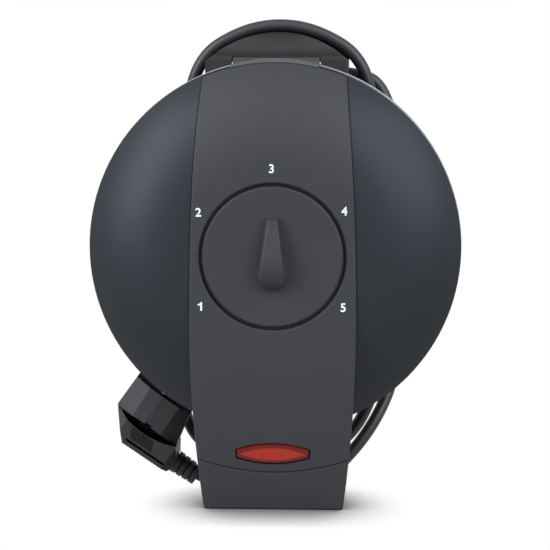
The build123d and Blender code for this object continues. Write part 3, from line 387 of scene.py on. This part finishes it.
# Lid shell: the two wings of the dome, one moulding of heat-resistant PBT plastic that passes behind the
# panel. Its smooth satin skin takes the left lamp as one broad soft sheen with a bluish cast.
def dress(piece, finish):
    """Gives a piece its one material, and smooth shading on all but its sharp edges."""
    piece.data.materials.clear()
    piece.data.materials.append(finish)
    bpy.ops.object.select_all(action="DESELECT")
    piece.select_set(True)
    bpy.context.view_layer.objects.active = piece
    bpy.ops.object.shade_smooth_by_angle(angle=math.radians(30))


wing_plastic = plastic(
    "PBT plastic, moulded satin, dark grey",
    "#212224",
    0.42,
    grains_per_mm=3.0,
    grain_depth=0.000012,
    sheen=0.22,
    tint="#e2eeff",
)
dress(cad["lid_shell"], wing_plastic)

# Centre panel and handle: a second PBT moulding laid over the wings, with the fine grain of an etched
# mould. It is a more neutral grey than the wings, and its rounded long edges catch a narrow bright line.
panel_plastic = plastic(
    "PBT plastic, moulded fine grain, grey",
    "#2d2d2f",
    0.55,
    grains_per_mm=2.6,
    grain_depth=0.00004,
    sheen=0.25,
)
dress(cad["centre_panel"], panel_plastic)

# Dial: a dished disc with its raised pointer, moulded in one piece from the panel's plastic and pushed
# onto the thermostat's spindle
dress(cad["dial_knob"], panel_plastic)

# Dial numbers: pad-printed in bluish white round the dial, one to five clockwise, in a bold plain hand.
# The 1 is an upright bar with a flag and no foot.
print_ink, tree = empty_material("bluish white printed ink")
ink = add_node(tree, "ShaderNodeBsdfPrincipled", Base_Color=linear("#cfe0ee"), Roughness=0.5)
add_node(tree, "ShaderNodeOutputMaterial", {"Surface": ink.outputs["BSDF"]})
number_places = (
    ("1", -0.0419, 0.1207),
    ("2", -0.0426, 0.1749),
    ("3", -0.0005, 0.2001),
    ("4", 0.0413, 0.1759),
    ("5", 0.0408, 0.1203),
)
number_front = -0.03923
number_size = 0.0069
number_weight = 0.00014
ink_thickness = 0.00004
one_corners = (
    (0.0002, -0.0025),
    (0.0013, -0.0025),
    (0.0013, 0.0025),
    (0.0005, 0.0025),
    (-0.0001, 0.0017),
    (-0.0013, 0.0012),
    (-0.0013, 0.0004),
    (0.0002, 0.0008),
)
for figure, across, up in number_places:
    bpy.ops.object.select_all(action="DESELECT")
    if figure == "1":
        flag = bpy.data.curves.new("dial_number_1", "CURVE")
        flag.dimensions = "2D"
        flag.fill_mode = "BOTH"
        outline = flag.splines.new("POLY")
        outline.points.add(len(one_corners) - 1)
        for point, corner in zip(outline.points, one_corners):
            point.co = (*corner, 0.0, 1.0)
        outline.use_cyclic_u = True
        number = bpy.data.objects.new("dial_number_1", flag)
        bpy.context.collection.objects.link(number)
        number.select_set(True)
        bpy.context.view_layer.objects.active = number
    else:
        bpy.ops.object.text_add(location=(0, 0, 0))
        number = bpy.context.object
        number.data.body = figure
        number.data.size = number_size
        number.data.offset = number_weight
        number.data.align_x = "CENTER"
        number.data.align_y = "CENTER"
    number.data.extrude = ink_thickness
    bpy.ops.object.convert(target="MESH")
    number = bpy.context.object
    number.name = "dial_number_" + figure
    upright = Matrix.Rotation(math.radians(90), 4, "X")
    number.data.transform(Matrix.Translation((across, number_front, up)) @ upright)
    dress(number, print_ink)
    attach(number, "lid")


# Lid rim: a turned stainless steel ring round the lid's open edge, just wider than the plastic, with a
# ledge for the plate. The satin finish makes it one even grey band.
def metal(name, code, roughness):
    """Worked metal: a brushed grain of streaks 17 mm long and 1 mm wide, and softly broken edges."""
    made, tree = empty_material(name)
    place = add_node(tree, "ShaderNodeTexCoord").outputs["Object"]
    stretch = add_node(tree, "ShaderNodeMapping", {"Vector": place}, Scale=(60.0, 60.0, 900.0))
    grain = add_node(
        tree,
        "ShaderNodeTexNoise",
        {"Vector": stretch.outputs["Vector"]},
        Scale=1.0,
        Detail=3.0,
    )
    rounded = add_node(tree, "ShaderNodeBevel", samples=4, Radius=0.0002)
    bump = add_node(
        tree,
        "ShaderNodeBump",
        {"Height": grain.outputs["Fac"], "Normal": rounded.outputs["Normal"]},
        Strength=1.0,
        Distance=0.00001,
    )
    gloss = add_node(
        tree,
        "ShaderNodeMapRange",
        {"Value": grain.outputs["Fac"]},
        To_Min=roughness - 0.08,
        To_Max=roughness + 0.08,
    )
    skin = add_node(
        tree,
        "ShaderNodeBsdfPrincipled",
        {"Roughness": gloss.outputs["Result"], "Normal": bump.outputs["Normal"]},
        Base_Color=linear(code),
        Metallic=1.0,
    )
    add_node(tree, "ShaderNodeOutputMaterial", {"Surface": skin.outputs["BSDF"]})
    return made


rim_metal = metal("stainless steel, turned satin", "#66696c", 0.4)
dress(cad["lid_rim"], rim_metal)

# Hinge tongue: a steel saddle hooked over the lid's top edge, which runs back to the hinge's barrel. It
# is bright metal where it lies on the lid, and dark and not metallic behind the line where lid and base
# meet.
dark_edge_width = 0.0005
saddle_metal, tree = empty_material("satin chromed steel, dark behind")
place = add_node(tree, "ShaderNodeTexCoord").outputs["Object"]
depth = add_node(tree, "ShaderNodeSeparateXYZ", {"Vector": place})
# dark and not metallic behind the line where lid and base meet, bright metal in front of it
dark_share = add_node(
    tree,
    "ShaderNodeMapRange",
    {"Value": depth.outputs["Y"]},
    From_Min=-dark_edge_width,
    From_Max=dark_edge_width,
)
saddle_colour = add_node(
    tree,
    "ShaderNodeMix",
    {"Factor": dark_share.outputs["Result"], "A": linear("#5f6366"), "B": linear("#1c1b1b")},
    data_type="RGBA",
)
bare = add_node(tree, "ShaderNodeMath", {0: 1.0, 1: dark_share.outputs["Result"]}, operation="SUBTRACT")
skin = add_node(
    tree,
    "ShaderNodeBsdfPrincipled",
    {"Base Color": saddle_colour.outputs["Result"], "Metallic": bare.outputs["Value"]},
    Roughness=0.4,
)
add_node(tree, "ShaderNodeOutputMaterial", {"Surface": skin.outputs["BSDF"]})
dress(cad["hinge_tongue"], saddle_metal)

# Handle cover: the closed back of the lid's handle, moulded from the panel's plastic and held by two
# plated screws, whose heads give small bright points
dress(cad["lid_handle_cover"], panel_plastic)
plated_steel = metal("zinc-plated steel", "#b4b5b8", 0.3)
dress(cad["cover_screws"], plated_steel)

# Upper heart plate and its ring: die-cast aluminium under a dark non-stick coating, held by plated
# screws. The sprayed coating gives a soft, slightly uneven gloss.
coating = plastic(
    "cast aluminium, non-stick coated, black",
    "#17171a",
    0.33,
    grains_per_mm=0.9,
    grain_depth=0.00003,
    mottle=0.2,
)
dress(cad["upper_plate_ring"], coating)
dress(cad["upper_heart_plate"], coating)
dress(cad["lid_screws"], plated_steel)

# Upper element and its reflector: a steel tube on the plate's back, dulled by its own heat, in a bright
# pan pressed from aluminised sheet that throws the heat back at the plate
dull_steel = metal("steel tube, heat-dulled", "#6d655c", 0.5)
dress(cad["upper_element"], dull_steel)
bright_sheet = metal("aluminised sheet, pressed bright", "#cfcfd0", 0.22)
dress(cad["upper_reflector"], bright_sheet)

# Thermostat: a body of cream phenolic that a plated strap holds to the plate's back, with its spindle,
# the dial's spring clip and the thermal fuse above it
cream_moulding = plastic("phenolic, moulded cream", "#d8cfb4", 0.35, grains_per_mm=0.6)
dress(cad["thermostat_body"], cream_moulding)
for steel_piece in ("thermostat_bracket", "thermostat_spindle", "knob_spring_clip", "thermal_fuse"):
    dress(cad[steel_piece], plated_steel)

# Indicator lens: clear red polycarbonate, moulded with fine upright ribs inside and held by a flange
# behind the handle's wall. The ribs fill a pointed field that is brighter than the bevelled border.
lens_height = 0.0338
field_half_width = 0.0196
field_half_height = 0.0037
rib_pitch = 0.0012
lens_red, tree = empty_material("clear red polycarbonate, ribbed")
place = add_node(tree, "ShaderNodeTexCoord").outputs["Object"]
spot = add_node(tree, "ShaderNodeSeparateXYZ", {"Vector": place}).outputs
turns = add_node(
    tree,
    "ShaderNodeMath",
    {0: spot["X"], 1: 2 * math.pi / rib_pitch},
    operation="MULTIPLY",
)
wave = add_node(tree, "ShaderNodeMath", {0: turns.outputs["Value"]}, operation="SINE")
rib_shade = add_node(tree, "ShaderNodeMapRange", {"Value": wave.outputs["Value"]}, From_Min=-1.0)
side = add_node(tree, "ShaderNodeMath", {0: spot["X"], 1: field_half_width}, operation="DIVIDE")
side_squared = add_node(tree, "ShaderNodeMath", {0: side.outputs["Value"], 1: 2.0}, operation="POWER")
rise = add_node(tree, "ShaderNodeMath", {0: spot["Z"], 1: lens_height}, operation="SUBTRACT")
off_middle = add_node(tree, "ShaderNodeMath", {0: rise.outputs["Value"]}, operation="ABSOLUTE")
tall = add_node(
    tree,
    "ShaderNodeMath",
    {0: off_middle.outputs["Value"], 1: field_half_height},
    operation="DIVIDE",
)
reach = add_node(
    tree,
    "ShaderNodeMath",
    {0: side_squared.outputs["Value"], 1: tall.outputs["Value"]},
    operation="ADD",
)
inside = add_node(
    tree,
    "ShaderNodeMapRange",
    {"Value": reach.outputs["Value"]},
    interpolation_type="SMOOTHSTEP",
    From_Min=0.85,
    From_Max=1.1,
    To_Min=1.0,
    To_Max=0.0,
)
rib_colour = add_node(
    tree,
    "ShaderNodeMix",
    {"Factor": rib_shade.outputs["Result"], "A": linear("#8a2418"), "B": linear("#9a2c1e")},
    data_type="RGBA",
)
lens_colour = add_node(
    tree,
    "ShaderNodeMix",
    {"Factor": inside.outputs["Result"], "A": linear("#5c1816"), "B": rib_colour.outputs["Result"]},
    data_type="RGBA",
)
skin = add_node(
    tree,
    "ShaderNodeBsdfPrincipled",
    {"Base Color": lens_colour.outputs["Result"]},
    Roughness=0.15,
    Specular_IOR_Level=0.2,
)
add_node(tree, "ShaderNodeOutputMaterial", {"Surface": skin.outputs["BSDF"]})
dress(cad["indicator_lens"], lens_red)

# Lamp: a small glow lamp of frosted glass behind the lens, in a holder of the thermostat's cream
# phenolic that stands on the handle's cover
dress(cad["lamp_holder"], cream_moulding)
lamp_glass, tree = empty_material("frosted lamp glass")
skin = add_node(tree, "ShaderNodeBsdfPrincipled", Base_Color=linear("#f0b890"), Roughness=0.3)
add_node(tree, "ShaderNodeOutputMaterial", {"Surface": skin.outputs["BSDF"]})
dress(cad["indicator_lamp"], lamp_glass)

# Base rim: the edge of the base, rolled from bright aluminium and pushed into the tray. From the front
# it shows as a thin bright line outside the lid's ring.
rolled_edge = metal("aluminium, rolled bright", "#b9bbbf", 0.24)
dress(cad["base_rim"], rolled_edge)

# Base shell: the tray of the lower half, moulded from the wings' PBT plastic, a little darker and with
# the same satin skin
tray_plastic = plastic(
    "PBT plastic, moulded satin, black grey",
    "#1b1d20",
    0.4,
    grains_per_mm=3.0,
    grain_depth=0.000012,
    sheen=0.3,
)
dress(cad["base_shell"], tray_plastic)

# Lower heart plate, its ring and screws, element and reflector: the same parts as in the lid, with the
# hearts towards the lid's and the screws put in from behind
dress(cad["lower_plate_ring"], coating)
dress(cad["lower_heart_plate"], coating)
dress(cad["base_screws"], plated_steel)
dress(cad["lower_element"], dull_steel)
dress(cad["lower_reflector"], bright_sheet)

# Hinge block: the dark hollow shoulder behind the lid's top, moulded from heat-resistant phenolic with
# a brownish cast. Two plated pins in its ears carry the lid.
block_plastic = plastic(
    "phenolic, moulded, brownish black",
    "#1d1b1b",
    0.55,
    grains_per_mm=2.2,
    grain_depth=0.00003,
    sheen=0.25,
)
dress(cad["hinge_block"], block_plastic)
dress(cad["hinge_pins"], plated_steel)

# Base handle, rear pedestal and its feet: the handle is moulded from the panel's plastic and the
# pedestal from the block's, and four soft rubber feet are pushed into it
dress(cad["base_handle"], panel_plastic)
dress(cad["cord_store"], block_plastic)
black_rubber = plastic("soft rubber, moulded, black", "#151515", 0.75, grains_per_mm=1.5)
dress(cad["feet"], black_rubber)

# Terminal block and park socket: the block of cream phenolic joins the wires inside the base, and the
# socket inside the base's edge holds the plug by its pins when the maker is put away
dress(cad["terminal_block"], cream_moulding)
dress(cad["plug_park_socket"], block_plastic)

# Gland and clamp: the gland is moulded on the lead from the same PVC, and the clamp holds the lead in
# the hinge block
dress(cad["cord_gland"], lead_sheath)
dress(cad["cord_clamp"], block_plastic)

# Plug: an angled plug with a ribbed grip and its boot, moulded on the lead from PVC, with two pins and
# two earth clips of plated brass. Painted shade darkens its grooves, and its face is a matt black that is
# painted shade.
plug_plastic = plastic(
    "PVC, moulded, dark grey",
    "#1f1f22",
    0.5,
    grains_per_mm=2.0,
    grain_depth=0.00003,
    sheen=0.35,
    # painted shade from ambient occlusion darkens the plug's grooves and waist recess
    painted_shade_reach=0.008,
)
plug_body = cad["plug_body"]
dress(plug_body, plug_plastic)
# Painted shade: the plug's face, close under the base's edge, gets a matt near-black material with almost
# no sheen
plug_body.data.materials.append(plastic("PVC, matt black, painted shade on plug face", "#08080a", 0.8, sheen=0.02))
plug_face = 0.1144
painted_shade_depth = 0.0003
for polygon in plug_body.data.polygons:
    middle = polygon.center
    out = middle.x * plug_side_z - (middle.z - lid_axis_height) * plug_side_x
    if out < plug_face + painted_shade_depth:
        polygon.material_index = 1
dress(cad["plug_boot"], plug_plastic)
pin_metal = metal("brass, nickel-plated", "#c9c6bd", 0.18)
dress(cad["plug_pins"], pin_metal)
dress(cad["plug_earth_clips"], pin_metal)
